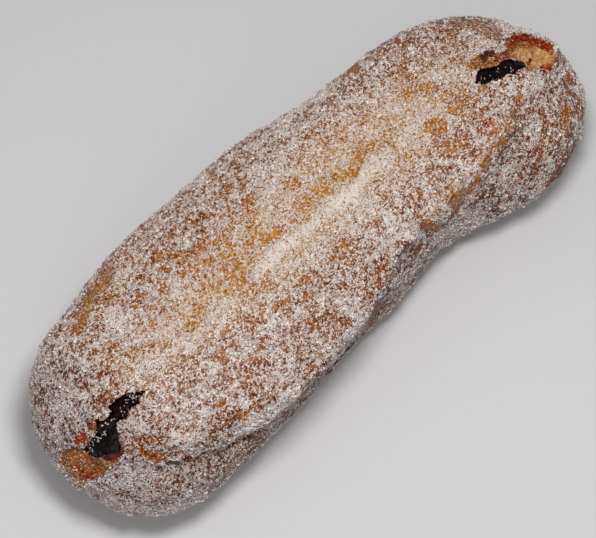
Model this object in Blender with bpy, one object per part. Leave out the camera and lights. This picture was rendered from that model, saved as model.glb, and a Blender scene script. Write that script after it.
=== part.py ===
"""A long john doughnut: a long yeast bun, fried, rolled in granulated sugar and filled with dark jam.

The crust is torn open near both ends, where the core of jam and some bare crumb show. Along its near side the
bun is folded: towards the left end the upper lobe stands back behind a crease with the lower lobe bulging out
under it, in the middle the upper lobe hangs over as a lip, and towards the right end the fold is a soft shoulder.

Units are metres and +Z is up. +X runs along the bun to its wide end, +Y to its far side, away from the
crease. The origin is on the surface that the bun rests on, under the middle of its box.
"""

import math

import bmesh
import bpy
import numpy as np
from mathutils import Vector, noise

MM = 0.001

# Driving dimensions of the bun
LENGTH = 146.4 * MM
HEIGHT = 38 * MM
ROUNDED_LEFT = 41 * MM
ROUNDED_RIGHT = 30 * MM
ROUNDED_IN_HEIGHT = 23 * MM
WIDEST_LEVEL = 15 * MM
SUNK_BELOW_FLOOR = 1.7 * MM

# Stations along the bun, as shares of half its length, and what the bun measures at each of them.
# The side reaches are those of the uncapped bun: the rounded ends cut them down.
STATIONS = (-1, -2 / 3, -1 / 3, 0, 1 / 3, 2 / 3, 1)
NEAR_REACH = (35.0, 27.5, 25.0, 23.5, 21.5, 27.0, 33.0)
FAR_REACH = (34.0, 26.5, 26.6, 26.4, 23.9, 19.9, 16.5)
TOP_LEVEL = (34.0, 36.6, 37.4, 37.0, 36.4, 37.6, 34.5)

# The fold along the near side: the level of its crease, how far the upper lobe stands back behind the lower
# one (less than nothing where it hangs over it), the height over which the lower lobe rolls in to it, how much
# it is a fold and not a soft shoulder, and how deep the crease is cut
CREASE_LEVEL = (28.0, 23.5, 26.5, 27.0, 28.0, 34.0, 32.0)
UPPER_LOBE_STANDS_BACK = (8.0, 2.6, -5.2, -3.3, 0.8, 3.2, 3.5)
ROLL_HEIGHT = (9.0, 9.0, 12.0, 13.0, 14.0, 20.0, 20.0)
FOLDED_SHARE = (0.3, 0.9, 1.0, 0.8, 0.0, 0.0, 0.0)
CREASE_DEPTH = (0.6, 3.0, 1.8, 1.4, 0.6, 0.0, 0.0)

# Profile of the section and of the ends
NEAR_TOP_SQUARENESS = (3.0, 3.8, 2.6, 2.6, 4.0, 3.0, 2.6)
FAR_TOP_SQUARENESS = 2.4
BOTTOM_SQUARENESS = 2.3
END_SQUARENESS = 2.05
END_HEIGHT_SQUARENESS = 2.3
CREASE_WIDTH = 1.5 * MM
FOLD_EASES_IN = 1.6

# The sugary ridge along the top, and the uneven swelling of the crust
RIDGE_OFFSET = (-4.0, -4.0, -5.0, -5.5, -5.0, -1.0, 0.0)
RIDGE_HEIGHT = 0.9 * MM
RIDGE_WIDTH = 3.5 * MM
SWELL_HEIGHT = 0.22 * MM
SWELL_WAVES = 7
SWELL_SEED = 12
SMOOTH_AT_TIP = 6 * MM

# Dents in the crust: place, radius and depth
DENTS = (
    ((-38, 12, 36), 6, 1.2),
    ((27, 16, 33), 5, 1.2),
    ((49, 6, 37), 4, 1.0),
    ((12, -20, 27), 7, 1.4),
    ((-14, -24, 24), 5, 0.9),
    ((26, -21, 14), 8, 1.6),
)

# The core of jam: the points its middle passes through, and its radius at each
JAM_ROUTE = (
    (-67.0, -5.5, 27.5),
    (-62.5, -5.5, 30.0),
    (-56.0, -4.2, 33.4),
    (-46.0, -3.0, 27.0),
    (-32.0, -1.0, 19.0),
    (0.0, 0.5, 17.0),
    (30.0, -2.0, 19.0),
    (41.0, -4.0, 28.0),
    (48.0, -6.2, 34.2),
    (53.0, -7.6, 34.6),
    (58.0, -8.6, 33.6),
)
JAM_RADIUS = (3.6, 4.1, 2.7, 4.2, 5.5, 6.0, 5.5, 4.0, 3.3, 3.4, 2.6)
JAM_BELOW_CRUST = 1.3 * MM
JAM_UNEVENNESS = 0.08
JAM_SEED = 8
JAM_GAP = 0.3 * MM

# Bare crumb beside each tear: place, the way it faces, its half-sizes and its depth
CRUMB_PATCHES = (
    ("left_scoop", (-71.0, -6.2, 23.8), (-0.87, -0.14, 0.47), (6.0, 7.6, 3.0), 1.5),
    ("right_scoop", (62.8, -7.6, 33.8), (0.50, -0.12, 0.86), (6.8, 6.0, 2.8), 1.2),
)
CRUMB_UNEVENNESS = 0.2
CRUMB_LUMPS = 1.9

# Fineness of the meshes
BUN_STATIONS = 78
FAR_ARC_POINTS = 24
NEAR_ARC_POINTS = 36
NEAR_ARC_TOP = 62
NEAR_ARC_BOTTOM = -50
JAM_RINGS = 40
JAM_SIDES = 18
SCOOP_RINGS = 12
SCOOP_SIDES = 24
SHARP_EDGE = 50


def smooth_through(where, places, values):
    """The value at each place on a smooth curve through the given ones."""
    places = np.asarray(places, float)
    values = np.asarray(values, float)
    slopes = np.gradient(values, places)
    left = np.clip(np.searchsorted(places, where) - 1, 0, len(places) - 2)
    gap = places[left + 1] - places[left]
    part = np.clip((where - places[left]) / gap, 0, 1)
    from_left = values[left] * (1 + 2 * part) + slopes[left] * gap * part
    from_right = values[left + 1] * (3 - 2 * part) - slopes[left + 1] * gap * (1 - part)
    return from_left * (1 - part) ** 2 + from_right * part**2


def eased(share):
    """A share from 0 to 1, eased at both ends."""
    share = np.clip(share, 0, 1)
    return share * share * (3 - 2 * share)


def share_along(x, values):
    """A plain number at x, from its values at the bun's stations."""
    return smooth_through(x / (LENGTH / 2), STATIONS, values)


def along_bun(x, values):
    """A length at x, from its values in millimetres at the bun's stations."""
    return MM * share_along(x, values)


def rounded_end(x, length, squareness):
    """1 over the bun's length, falling to 0 over the rounded stretch at each tip."""
    into_end = np.clip((np.abs(x) - LENGTH / 2 + length) / length, 0, 1)
    return np.maximum(1 - into_end**squareness, 0) ** (1 / squareness)


def section_angles():
    """Angles round the section, from the near side's top, closer together where the crease runs."""
    near_top = math.radians(180 - NEAR_ARC_TOP)
    near_bottom = math.radians(180 - NEAR_ARC_BOTTOM)
    near = np.linspace(near_top, near_bottom, NEAR_ARC_POINTS, endpoint=False)
    far = np.linspace(near_bottom, near_top + 2 * math.pi, FAR_ARC_POINTS, endpoint=False)
    return np.concatenate([near, far])


def superellipse(cosine, squareness):
    return np.sign(cosine) * np.abs(cosine) ** (2 / squareness)


def bun_sections(inset=0.0):
    """Points of the bun's surface, station by station, or of a surface that lies inset inside it."""
    turn = np.linspace(-math.pi / 2, math.pi / 2, BUN_STATIONS)
    x = (np.sin(turn) * LENGTH / 2)[:, None]
    angle = section_angles()[None, :]
    near = along_bun(x, NEAR_REACH)
    far = along_bun(x, FAR_REACH)
    rounded = np.where(x < 0, ROUNDED_LEFT, ROUNDED_RIGHT)
    plan = rounded_end(x, rounded, END_SQUARENESS)
    height = rounded_end(x, ROUNDED_IN_HEIGHT, END_HEIGHT_SQUARENESS)

    near_top = share_along(x, NEAR_TOP_SQUARENESS)
    on_top = np.where(np.cos(angle) < 0, near_top, FAR_TOP_SQUARENESS)
    squareness = np.where(np.sin(angle) > 0, on_top, BOTTOM_SQUARENESS)
    above = along_bun(x, TOP_LEVEL) - WIDEST_LEVEL
    below = WIDEST_LEVEL + SUNK_BELOW_FLOOR
    reach = np.where(np.sin(angle) > 0, above, below)
    z = WIDEST_LEVEL + height * reach * superellipse(np.sin(angle), squareness)
    side = plan * (near + far) / 2 * superellipse(np.cos(angle), squareness)
    side = side + plan * fold(x, z) * eased(-FOLD_EASES_IN * np.cos(angle))

    points = np.stack(np.broadcast_arrays(x, side + (far - near) / 2, z), axis=-1)
    points = points + relief(points, angle)[..., None] * outward(points)
    points = points - inset * outward(points)
    points[..., 2] = np.maximum(points[..., 2], inset)
    return points


def fold(x, z):
    """How far the near side stands back at each level, from the lower lobe up past the crease."""
    crease = along_bun(x, CREASE_LEVEL)
    rolled = np.clip((z - crease) / along_bun(x, ROLL_HEIGHT) + 1, 0, 1)
    folded = share_along(x, FOLDED_SHARE)
    roll = folded * (1 - np.sqrt(1 - rolled**2)) + (1 - folded) * eased(rolled)
    groove = along_bun(x, CREASE_DEPTH) * np.exp(-(((z - crease) / CREASE_WIDTH) ** 2))
    return along_bun(x, UPPER_LOBE_STANDS_BACK) * roll + groove


def outward(points):
    """The surface's outward direction at each point of a grid of sections."""
    along = np.gradient(points, axis=0)
    around = np.roll(points, -1, axis=1) - np.roll(points, 1, axis=1)
    direction = np.cross(around, along)
    length = np.linalg.norm(direction, axis=-1, keepdims=True)
    return direction / np.maximum(length, 1e-12)


def relief(points, angle):
    """How far the crust stands out at each point: the ridge on top, the swelling and the dents."""
    x, y, z = np.moveaxis(points, -1, 0)
    rng = np.random.default_rng(SWELL_SEED)
    swell = 0
    for _ in range(SWELL_WAVES):
        along = rng.uniform(1.5, 9) * math.pi / LENGTH
        around = rng.integers(1, 6)
        swell = swell + np.sin(along * x + around * angle + rng.uniform(0, 2 * math.pi))
    off_ridge = (y - along_bun(x, RIDGE_OFFSET)) / RIDGE_WIDTH
    on_top = eased((z - WIDEST_LEVEL) / (HEIGHT - WIDEST_LEVEL) * 2 - 1)
    ends = eased((LENGTH / 2 - np.abs(x)) / ROUNDED_RIGHT)
    height = SWELL_HEIGHT * swell + RIDGE_HEIGHT * np.exp(-(off_ridge**2)) * on_top * ends
    for place, radius, depth in DENTS:
        away = np.linalg.norm(points - np.array(place) * MM, axis=-1) / (radius * MM)
        height = height - depth * MM * np.exp(-(away**2))
    return height * eased((LENGTH / 2 - np.abs(x)) / SMOOTH_AT_TIP)


def jam_sections(grown):
    """Points round the core of jam, ring by ring, grown by a little for the tunnel it lies in."""
    share = np.linspace(0, 1, JAM_RINGS)
    places = np.linspace(0, 1, len(JAM_ROUTE))
    middle = np.stack([smooth_through(share, places, axis) for axis in zip(*JAM_ROUTE)], axis=-1) * MM
    radius = smooth_through(share, places, JAM_RADIUS) * MM
    forward = np.gradient(middle, axis=0)
    forward = forward / np.linalg.norm(forward, axis=1, keepdims=True)
    sideways = np.cross(forward, (0, 0, 1))
    sideways = sideways / np.linalg.norm(sideways, axis=1, keepdims=True)
    upward = np.cross(sideways, forward)

    rng = np.random.default_rng(JAM_SEED)
    angle = np.linspace(0, 2 * math.pi, JAM_SIDES, endpoint=False)
    lumps = 1 + JAM_UNEVENNESS * rng.uniform(-1, 1, (JAM_RINGS, JAM_SIDES))
    reach = radius[:, None] * lumps + grown
    across = reach * np.cos(angle)
    up = reach * np.sin(angle)
    rings = middle[:, None] + across[..., None] * sideways[:, None] + up[..., None] * upward[:, None]
    end_push = np.array([-1, 1])[:, None] * forward[[0, -1]] * (radius[[0, -1]] / 2 + grown)[:, None]
    tips = middle[[0, -1]] + end_push
    return rings, tips


def closed_mesh(name, rings, tips):
    """A mesh of rings of points, joined by faces and closed by a fan of triangles at each tip."""
    shell = bmesh.new()
    grid = [[shell.verts.new(point) for point in ring] for ring in rings]
    for here, there in zip(grid, grid[1:]):
        for side, corner in enumerate(here):
            shell.faces.new((corner, there[side], there[side - 1], here[side - 1]))
    for ring, tip in ((grid[0], tips[0]), (grid[-1], tips[1])):
        middle = shell.verts.new(tip)
        for side, corner in enumerate(ring):
            shell.faces.new((corner, ring[side - 1], middle))
    return finished(name, shell)


def finished(name, shell):
    """A mesh data block of a closed shell, with all its faces pointing out."""
    bmesh.ops.recalc_face_normals(shell, faces=shell.faces)
    mesh = bpy.data.meshes.new(name)
    shell.to_mesh(mesh)
    shell.free()
    return mesh


def bun_mesh(name, inset=0.0):
    sections = bun_sections(inset)
    tips = sections[[0, -1]].mean(axis=1)
    return closed_mesh(name, sections[1:-1], tips)


def jam_mesh(name, grown=0.0):
    return closed_mesh(name, *jam_sections(grown))


def scoop_mesh(name, half_sizes):
    """An uneven flattened ball that scoops a patch of crust away, its thin side along Z."""
    shell = bmesh.new()
    bmesh.ops.create_uvsphere(shell, u_segments=SCOOP_SIDES, v_segments=SCOOP_RINGS, radius=1)
    size = Vector(half_sizes) * MM
    for corner in shell.verts:
        lump = noise.noise(corner.co * CRUMB_LUMPS + size / MM)
        corner.co = (1 + CRUMB_UNEVENNESS * lump) * corner.co * size
    return finished(name, shell)


def material(name, colour, roughness):
    finish = bpy.data.materials.new(name)
    finish.use_nodes = True
    shader = finish.node_tree.nodes["Principled BSDF"]
    shader.inputs["Base Color"].default_value = (*colour, 1)
    shader.inputs["Roughness"].default_value = roughness
    shader.inputs["Metallic"].default_value = 0
    return finish


def place(name, mesh, parent, finish=None):
    """A named object in the scene, on the middle of the bun."""
    thing = bpy.data.objects.new(name, mesh)
    bpy.context.scene.collection.objects.link(thing)
    thing.parent = parent
    if finish:
        mesh.materials.append(finish)
    return thing


def cut(thing, cutter, operation="DIFFERENCE"):
    modifier = thing.modifiers.new(cutter.name, "BOOLEAN")
    modifier.operation = operation
    modifier.object = cutter
    modifier.solver = "EXACT"


def apply_cuts(thing):
    """Makes the cuts part of the mesh, and marks the edges that they leave as sharp."""
    bpy.context.view_layer.update()
    graph = bpy.context.evaluated_depsgraph_get()
    mesh = bpy.data.meshes.new_from_object(thing.evaluated_get(graph))
    mesh.name = thing.name
    mesh.shade_smooth()
    mesh.set_sharp_from_angle(angle=math.radians(SHARP_EDGE))
    thing.modifiers.clear()
    thing.data = mesh


def crumb_scoop(name, centre, facing, half_sizes, depth, parent):
    """The scoop of one bare patch, laid flat on the crust and sunk by its depth."""
    scoop = place(name, scoop_mesh(name, half_sizes), parent)
    facing = Vector(facing).normalized()
    scoop.location = (Vector(centre) + (half_sizes[2] - depth) * facing) * MM
    scoop.rotation_euler = (0, math.acos(facing.z), math.atan2(facing.y, facing.x))
    return scoop


def over_origin(mesh):
    """Where a mesh goes for its box to stand on the floor with its middle over the origin."""
    points = np.array([vertex.co for vertex in mesh.vertices])
    lowest, highest = points.min(axis=0), points.max(axis=0)
    return -(lowest[0] + highest[0]) / 2, -(lowest[1] + highest[1]) / 2, -lowest[2]


def build():
    for thing in list(bpy.data.objects):
        bpy.data.objects.remove(thing, do_unlink=True)

    crust = material("sugared_crust", (0.36, 0.26, 0.20), 0.8)
    filling = material("dark_jam", (0.012, 0.007, 0.010), 0.12)

    middle = bpy.data.objects.new("bun_middle", None)
    bpy.context.scene.collection.objects.link(middle)

    dough = place("dough", bun_mesh("dough"), middle, crust)
    jam = place("jam", jam_mesh("jam"), middle, filling)
    middle.location = over_origin(dough.data)

    tunnel = place("tunnel", jam_mesh("tunnel", JAM_GAP), middle)
    under_crust = place("under_crust", bun_mesh("under_crust", JAM_BELOW_CRUST), middle)
    scoops = [crumb_scoop(*patch, middle) for patch in CRUMB_PATCHES]

    cut(jam, under_crust, "INTERSECT")
    for cutter in (tunnel, *scoops):
        cut(dough, cutter)
    apply_cuts(jam)
    apply_cuts(dough)
    for cutter in (under_crust, tunnel, *scoops):
        bpy.data.objects.remove(cutter, do_unlink=True)


build()
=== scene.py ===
"""The looks of a long john doughnut: fried crust, the sugar on it, the torn ends, the bare crumb and the jam.

Metres, +Z up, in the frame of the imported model: +X along the bun, -Y its folded side. Places that were read
off the photograph are pixels of its 596 x 538 frame, and they are laid on the bun along that camera's view.
"""

import math

import bmesh
import bpy
import numpy as np
from mathutils import Matrix, Vector, noise
from mathutils.bvhtree import BVHTree


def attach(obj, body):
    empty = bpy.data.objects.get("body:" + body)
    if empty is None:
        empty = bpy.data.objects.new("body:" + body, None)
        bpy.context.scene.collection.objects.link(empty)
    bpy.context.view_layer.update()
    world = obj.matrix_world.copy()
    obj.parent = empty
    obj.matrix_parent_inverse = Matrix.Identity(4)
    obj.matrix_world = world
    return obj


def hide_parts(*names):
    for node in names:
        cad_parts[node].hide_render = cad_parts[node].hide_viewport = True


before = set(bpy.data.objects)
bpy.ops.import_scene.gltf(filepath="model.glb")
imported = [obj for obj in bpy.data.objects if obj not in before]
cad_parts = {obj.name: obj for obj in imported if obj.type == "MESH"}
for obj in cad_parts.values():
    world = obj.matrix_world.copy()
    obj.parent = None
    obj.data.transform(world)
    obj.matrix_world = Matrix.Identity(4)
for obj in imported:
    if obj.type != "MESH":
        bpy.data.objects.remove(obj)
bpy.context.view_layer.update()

MM = 0.001

# The photograph's camera
PHOTO_WIDTH = 596
PHOTO_HEIGHT = 538
CAMERA_ELEVATION = math.radians(66)
CAMERA_TURN = math.radians(45)
CAMERA_DISTANCE = 650 * MM
CAMERA_TARGET = np.array((0, 2.77, 18.0)) * MM
TARGET_PIXEL = (296.2, 234.8)
PIXELS_PER_MM = 4.55
FOCAL_PIXELS = PIXELS_PER_MM / MM * CAMERA_DISTANCE
SENSOR_WIDTH = 36.0
CLIP_START = 0.05

TO_CAMERA = np.array((
    -math.sin(CAMERA_TURN) * math.cos(CAMERA_ELEVATION),
    -math.cos(CAMERA_TURN) * math.cos(CAMERA_ELEVATION),
    math.sin(CAMERA_ELEVATION),
))
CAMERA_RIGHT = np.array((math.cos(CAMERA_TURN), -math.sin(CAMERA_TURN), 0))
CAMERA_UP = np.cross(TO_CAMERA, CAMERA_RIGHT)
EYE = CAMERA_TARGET + CAMERA_DISTANCE * TO_CAMERA

# Fineness of the skin and of the jam in the tears
WELDED_WITHIN = 0.001 * MM
SKIN_VOXEL = 0.6 * MM
SKIN_SMOOTHING = 10
JAM_VOXEL = 0.3 * MM
JAM_SMOOTHING = 4
SMOOTHING_FACTOR = 0.5
FILLED_OVER_JAM = 1.2 * MM
REFINED_AROUND_TEARS = 1.6 * MM

# Openings torn in the crust, in the photograph's pixels
LEFT_TEAR = (
    (146, 391.5), (139.5, 397.5), (139, 403.5), (133, 407), (128, 411), (126.5, 419), (121.5, 420.5),
    (116.5, 423), (118, 435), (120.5, 445), (120.5, 451), (113, 453), (105, 455), (101, 457.5), (95.5, 458.5),
    (90, 456), (83.5, 449), (89, 443.5), (95, 436), (97, 430), (95, 420), (102.5, 420.5), (108.5, 416),
    (111, 411), (108.5, 407.5), (115, 400.5), (121, 397), (126.5, 393.5), (139, 391.5),
)
RIGHT_TEAR = (
    (475, 82.5), (484.5, 84.5), (491.5, 80.5), (498, 81), (503, 77), (510, 73.5), (515.5, 75), (516.5, 70),
    (522.5, 69), (526, 67), (523.5, 62), (517.5, 60.5), (512, 59), (507, 59), (502, 61.5), (497, 65.5),
    (491.5, 67), (484.5, 68), (480.5, 68), (477, 74.5),
)
TEARS = (LEFT_TEAR, RIGHT_TEAR)
TEAR_DEPTH = 3.4 * MM
TEAR_CLEARS = 5 * MM
TEAR_STEP = 0.3 * MM
TEAR_JITTER = 0.13 * MM
TEAR_SEED = 40
JAM_SINKS = 0.8 * MM
JAM_CLEARANCE = 0.1 * MM
FILLED_ABOVE_TEARS_FLOOR = 0.6 * MM

# Patches of bare crumb beside the tears
LEFT_CRUMB = (
    (60, 452), (66, 449), (74, 446), (84, 448), (91, 456), (96, 459), (102, 457), (112, 453), (120.5, 450),
    (120.5, 456), (114, 463), (109, 470), (104, 476), (91, 480.5), (81, 484), (73, 478.5), (66, 470),
    (60, 462),
)
RIGHT_CRUMB = (
    (509, 37), (514, 35), (522, 33), (532, 34), (540, 38.5), (547, 43), (553, 48.5), (556, 56), (555, 64),
    (552, 68.5), (548, 72), (543, 69.5), (535, 70), (527, 72), (524, 64), (517, 60.5), (508, 57.5),
    (502, 53.5), (507, 48), (504, 43),
)
CRUMBS = (LEFT_CRUMB, RIGHT_CRUMB)
CRUMB_SUNK = 0.7 * MM

# How squarely a surface has to face the camera before the photograph's outlines and strokes are laid on it
FACES_CAMERA = 0.05
STROKES_SHOW = (-0.25, 0.0)

# Strokes of the photograph: the pixels that each runs through, its half-width in pixels and its strength
STROKE_FADES = (0.4, 1.4)
STROKE_RAGGEDNESS = 0.35

# Where the crust is bare of sugar; some strokes, marked below, are partly painted shade
BARE_AND_PAINTED_SHADE = (
    (((74, 330), (82, 314), (91, 296)), 8, 0.8),
    (((100, 287), (107, 270)), 7, 0.8),
    (((355, 69),), 6, 1.0),
    (((160, 256), (181, 256)), 6, 0.8),
    (((167, 270),), 5, 0.6),
    (((195, 250), (206, 241)), 6, 0.6),
    (((245, 230), (252, 247)), 6, 0.35),
    (((238, 270), (237, 281)), 9, 0.6),
    (((230, 293), (246, 290)), 6, 0.5),
    (((260, 288), (273, 288)), 6, 0.5),
    (((205, 292),), 6, 0.4),
    (((279, 305), (287, 307)), 7, 0.7),
    (((305, 306),), 10, 0.35),
    (((480, 118), (492, 130)), 9, 0.35),
    (((162, 306),), 9, 0.3),
    (((199, 311), (190, 325)), 7, 0.5),
    (((340, 245), (347, 251)), 7, 0.5),
    (((422, 227), (429, 224), (437, 228)), 5.5, 1.6),
    (((421, 241), (417, 248)), 3, 0.6),
    (((453, 206), (463, 192)), 5, 0.95),
    (((468, 190), (478, 180)), 4.5, 0.8),
    (((484, 170), (488, 157)), 4, 0.8),
    (((499, 146), (503, 136)), 4, 0.75),
    (((508, 127),), 3, 0.6),
    (((514, 117),), 3.5, 0.6),
    (((517, 101), (518, 95)), 4, 0.8),
    (((458, 103), (458, 111)), 7, 0.8),
    (((433, 127), (441, 129)), 8, 0.8),
    (((445, 151), (457, 142)), 8, 0.8),
    (((405, 92), (432, 88)), 5, 0.6),
    (((364, 148), (351, 172), (330, 178), (315, 195), (300, 206)), 8, 0.5),
    (((276, 233), (262, 242)), 8, 0.3),
    (((297, 183),), 6, 0.6),
    (((380, 202), (390, 195)), 4, 0.5),
    (((362, 235),), 4, 0.5),
    (((243, 416),), 6, 1.0),
    (((220, 403),), 5, 0.6),
    (((171, 400),), 4, 0.5),
    (((440, 31), (470, 22), (488, 28)), 9, 0.45),
    (((565, 128), (566, 108)), 4.5, 0.8),
    (((569, 80),), 6, 0.6),
    (((546, 189), (560, 177), (569, 166), (578, 148)), 7, 1.3),
    (((539, 157), (541, 140), (547, 124)), 4, 0.7),
    (((509, 197), (516, 184), (524, 169)), 3, 0.6),
    (((213, 175),), 6, 0.6),
    (((220, 193), (240, 188), (246, 180)), 5, 0.45),
    (((475, 62), (490, 60), (505, 56)), 6, 0.8),
    (((84, 440),), 7, 0.9),
    (((91, 428), (98, 414)), 5, 1.1),
    (((93, 405), (108, 399)), 5, 0.6),
    # This stroke just above the fold's crease is partly bare crust and partly painted shade on the slope down
    # to the crease
    (((176, 453), (207, 455)), 3.5, 0.35),
    (((141, 451), (158, 456)), 6, 0.8),
    (((549, 152), (556, 125)), 4, 0.5),
    (((124, 451), (148, 438), (166, 440)), 6, 0.7),
    (((185, 433),), 5, 0.5),
    (((400, 241), (392, 253), (381, 275)), 4, 0.2),
    (((270, 382),), 6, 0.4),
    (((150, 345), (170, 345)), 4, 0.4),
    (((214, 358), (226, 358)), 4, 0.5),
    (((102, 300), (120, 285)), 8, 0.3),
    # These last five strokes lie on the wall just under the fold's lip: partly bare crust, partly painted
    # shade under the overhang
    (((246, 438), (252, 435.6)), 2.5, 0.9),
    (((283, 414.5), (287, 411)), 2.5, 0.9),
    (((298, 401.5), (306, 390)), 3, 1.0),
    (((369, 324), (373, 313), (380, 304)), 3, 1.0),
    (((415.5, 251), (421, 244)), 3, 0.9),
)
# Where the sugar lies thick and pale; some strokes, marked below, are partly painted light
SUGARED_AND_PAINTED_LIGHT = (
    # These strokes, down to the one from (140, 375), run along the crown's ridge: partly thick sugar, partly
    # a painted highlight along its crest
    (((258, 272), (268, 260)), 6, 1.0),
    (((268, 260), (279, 250), (291, 243)), 7, 1.3),
    (((291, 243), (303, 233), (321, 217)), 7, 0.85),
    (((321, 215), (335, 206)), 8, 0.85),
    (((335, 206), (344, 202), (354, 194)), 8, 1.35),
    (((276, 281), (306, 257), (340, 231), (364, 206)), 13, 0.3),
    (((356, 191), (372, 168), (388, 155)), 8, 0.85),
    (((402, 145), (412, 128)), 8, 0.5),
    (((140, 375), (155, 362), (176, 352), (200, 338), (215, 322), (230, 305)), 8, 0.45),
    (((390, 221), (399, 232), (413, 230)), 8, 0.7),
    (((216, 370),), 8, 0.7),
    (((176, 412), (181, 404)), 9, 0.5),
    (((174, 438), (196, 435)), 6, 0.25),
    (((195, 416), (206, 414)), 8, 0.4),
    (((140, 262), (150, 285)), 8, 0.3),
    # These two strokes on the right lobe's steep lower rim are partly sugar and partly painted light on its
    # shaded wall
    (((535, 185), (550, 166)), 6, 0.3),
    (((533, 193), (545, 187)), 5, 0.4),
    (((270, 326), (280, 336)), 10, 0.45),
    (((270, 260),), 7, 0.6),
    (((297, 267),), 7, 0.5),
    (((115, 322),), 14, 0.5),
    (((160, 335),), 7, 0.5),
    # These three strokes just inside the fold's lip are partly sugar and partly painted light on the crown's
    # edge
    (((240, 430), (275, 410), (300, 385)), 8, 0.55),
    (((272, 385), (296, 368)), 9, 0.35),
    (((300, 385), (330, 355), (362, 322)), 6, 0.35),
    (((228, 205), (236, 196)), 7, 0.35),
    (((246, 405),), 6, 0.4),
    (((60, 410),), 11, 0.5),
    (((110, 482), (150, 490)), 10, 0.3),
    (((528, 136), (517, 155)), 12, 0.2),
    (((540, 85),), 8, 0.6),
    (((475, 217), (440, 240)), 9, 0.5),
    (((410, 130),), 6, 0.6),
    (((345, 118),), 6, 0.5),
    (((276, 173), (264, 187)), 10, 0.25),
    (((130, 472), (150, 473)), 7, 0.5),
    (((108, 500), (140, 514), (172, 512), (200, 500)), 8, 0.5),
    (((96, 418), (107, 413)), 6, 0.5),
    (((525, 31), (539, 38)), 4, 1.0),
    (((554, 49),), 4, 1.0),
)
# Red stains of jam
STAINED = (
    (((77, 440), (84, 434)), 5, 0.9),
    (((73, 466), (77, 468)), 2.5, 0.9),
    (((83, 474), (92, 477)), 4, 1.0),
    (((98, 476),), 2.5, 0.7),
    (((92, 460),), 2.5, 0.7),
    (((107, 467),), 2, 0.7),
    (((108, 457), (119, 455)), 4.5, 1.0),
    (((114, 461), (119, 457)), 3.5, 0.9),
    (((91, 430), (93, 418)), 3, 0.5),
    (((516, 40), (521, 37.5), (528, 37.5)), 5, 1.0),
    (((534, 41), (541, 44), (548, 47)), 5.5, 1.0),
    (((508, 48), (513, 45)), 3.5, 0.6),
    (((528.6, 45.8),), 2, 0.9),
    (((530.5, 59.5), (528.5, 63)), 2.2, 1.0),
    (((543, 69), (549, 68.5)), 4, 1.0),
    (((551.5, 53.3),), 2, 0.7),
    (((496, 60), (506, 55)), 4, 0.6),
    (((518, 74), (522, 71.5)), 2, 0.8),
)
# Where jam has soaked the crust dark
SOAKED = (
    (((484, 57), (486, 54), (492, 53)), 4, 1.1),
    (((493, 60), (505, 55)), 4, 0.45),
    (((476, 63), (490, 61), (505, 57)), 6, 0.4),
    (((109, 456), (119, 452)), 6, 1.2),
    (((94, 463), (99, 470)), 3.5, 0.5),
    (((88, 446), (95, 438)), 3, 0.5),
    (((92, 423), (97, 413)), 4, 0.35),
    (((96, 406), (109, 401)), 5, 0.4),
)
# Where the crumb is pale
PALE = (
    (((519, 53), (524, 53), (528, 60)), 6, 1.0),
    (((541, 52), (545, 57), (538, 64)), 8, 1.0),
)
# The shoulder over the right lobe, where the crown reaches furthest out and its crust is painted more golden
# as painted light
SHOULDER = (
    (((505, 126), (489, 155), (470, 179), (451, 199), (431, 217)), 11, 1.0),
)

# Loose grains fallen on the jam, and grains laid as a painted highlight: the pixel that they lie round, their
# spread in pixels and their number
FALLEN_AND_HIGHLIGHT_GRAINS = (
    ((133, 397), 7, 34),
    ((122, 408), 5, 6),
    ((98, 439), 3.5, 14),
    ((104, 433), 2.5, 8),
    ((92, 447), 5, 8),
    # These three groups lie along the jam's ridge: white grains as a painted highlight in place of its wet
    # glint
    ((103, 426), 1.6, 4),
    ((107.5, 423.5), 1.5, 5),
    ((113, 420), 1.8, 4),
    ((487, 78), 4, 3),
    ((512, 68), 5, 5),
)
FALLEN_AND_HIGHLIGHT_KIND = "sugar_medium"
FALLEN_AND_HIGHLIGHT_COVER_AND_SIDE = (0.35, 0.8)

# The wall that shows under the fold's lip, down to the outline, and the pixels across where it fades out
NEAR_WALL = (
    (142, 480), (156, 466.5), (168, 465), (180, 462), (198, 458), (214, 452), (225, 447), (239, 437),
    (267, 424), (294, 404), (302, 386), (332, 363.5), (362, 326), (380, 296), (395, 263), (407, 245),
    (421, 237), (439, 230), (480, 240), (440, 300), (380, 400), (280, 480), (180, 530), (130, 520),
)
NEAR_WALL_FADES = (384, 418)
REFINED_AROUND_LIP = 1.2 * MM

# Where the jam stands up in a small ridge
JAM_RIDGES = (
    (((99, 427), (107, 423.5), (118, 416)), 4, 1.0),
    (((127, 405), (134, 399)), 4, 0.6),
    (((499, 68), (506, 66)), 4, 1.0),
    (((482, 76), (488, 74)), 4, 0.6),
)

# Small dark nicks in the crust
NICKS = (
    (((136, 283), (140, 285)), 3, 1.0),
    (((438, 42), (444, 44), (450, 45)), 1.6, 1.0),
    (((334, 87), (340, 88)), 2.5, 0.8),
    (((466, 196),), 1.6, 1.0),
    (((169, 463), (178, 463.5), (190, 459)), 2.8, 2.0),
    (((150, 452), (180, 456), (207, 453)), 7, 0.5),
    (((483, 53), (489, 52)), 2.5, 0.9),
)

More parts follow.
